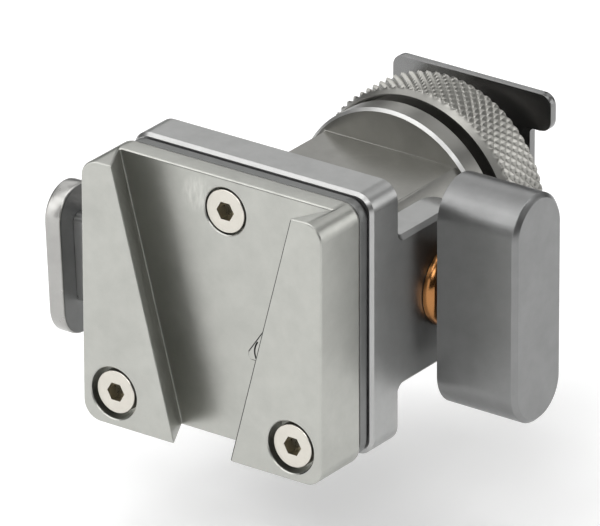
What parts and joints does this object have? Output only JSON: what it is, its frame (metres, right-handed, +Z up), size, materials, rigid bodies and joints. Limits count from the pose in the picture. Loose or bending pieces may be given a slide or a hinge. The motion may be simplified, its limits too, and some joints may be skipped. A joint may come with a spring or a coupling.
{
  "type": "shoe-foot swivel bracket",
  "caption": "Small metal swivel joint: a wedge-slot head with a push-button catch tilts in a clevis on a neck that pans on a cold-shoe foot with a knurled lock wheel.",
  "frame": {"origin": "centre of the shoe foot's back face, on the pan axis", "axes": "+X towards the tilt lever, +Y out of the shoe foot's back face, +Z up; the wedge slot faces -Y and is widest at its top"},
  "size_m": [0.0475, 0.0452, 0.0269],
  "materials": {
    "body_aluminium": "satin, bead-blasted and anodised silver",
    "plate_aluminium": "satin, slightly warm grey",
    "steel": "stainless, lightly polished",
    "bronze": "polished bronze",
    "dark_gasket": "matte black",
    "bearing_plastic": "plain acetal"
  },
  "bodies": {
    "shoe_base": {"shoe_foot": "steel", "stud_screw": "steel", "stud_washer": "steel", "swivel_collar": "steel", "thrust_washer": "bearing_plastic"},
    "lock_washer": {"lock_washer": "steel"},
    "lock_wheel": {"lock_wheel": "body_aluminium"},
    "neck": {"swivel_neck": "body_aluminium", "tilt_bush_left": "bronze", "tilt_bush_right": "bronze"},
    "head": {"head_clevis": "body_aluminium", "wedge_plate": "plate_aluminium", "latch_cover": "body_aluminium", "plate_gasket": "dark_gasket", "plate_screw_top": "steel", "plate_screw_left": "steel", "plate_screw_right": "steel", "tilt_bolt": "steel", "tilt_shim_left": "bearing_plastic", "tilt_shim_right": "bearing_plastic", "latch_spring": "steel"},
    "lever_washer": {"lever_washer": "bronze"},
    "lever": {"tilt_lever": "body_aluminium", "lever_insert": "steel"},
    "latch": {"release_button": "body_aluminium", "button_screw": "steel", "latch_slider": "steel", "latch_catch": "steel"}
  },
  "joints": [
    {"name": "lock_travel", "type": "slide", "parent": "shoe_base", "child": "lock_washer", "axis": [0, 1, 0], "range_m": [-0.0009, 0.0018]},
    {"name": "wheel_turn", "type": "hinge", "parent": "lock_washer", "child": "lock_wheel", "pos_m": [0, 0, 0], "axis": [0, 1, 0], "range_deg": [-324.5, 648.5]},
    {"name": "pan", "type": "hinge", "parent": "shoe_base", "child": "neck", "pos_m": [0, 0, 0], "axis": [0, 1, 0], "continuous": true},
    {"name": "tilt", "type": "hinge", "parent": "neck", "child": "head", "pos_m": [0, -0.0247, 0.0005], "axis": [1, 0, 0], "range_deg": [-70, 70]},
    {"name": "lever_travel", "type": "slide", "parent": "head", "child": "lever_washer", "axis": [1, 0, 0], "range_m": [0, 0.0005]},
    {"name": "lever_turn", "type": "hinge", "parent": "lever_washer", "child": "lever", "pos_m": [0, -0.0247, 0.0005], "axis": [1, 0, 0], "range_deg": [0, 257.5]},
    {"name": "release", "type": "slide", "parent": "head", "child": "latch", "axis": [1, 0, 0], "range_m": [0, 0.0025], "stiffness_N_per_m": 400, "springref_m": -0.002, "deforming": ["latch_spring"]}
  ],
  "couplings": [
    {"joint": "wheel_turn", "follows": "lock_travel", "rad_per_m": 6283.2},
    {"joint": "lever_turn", "follows": "lever_travel", "rad_per_m": 8976}
  ]
}
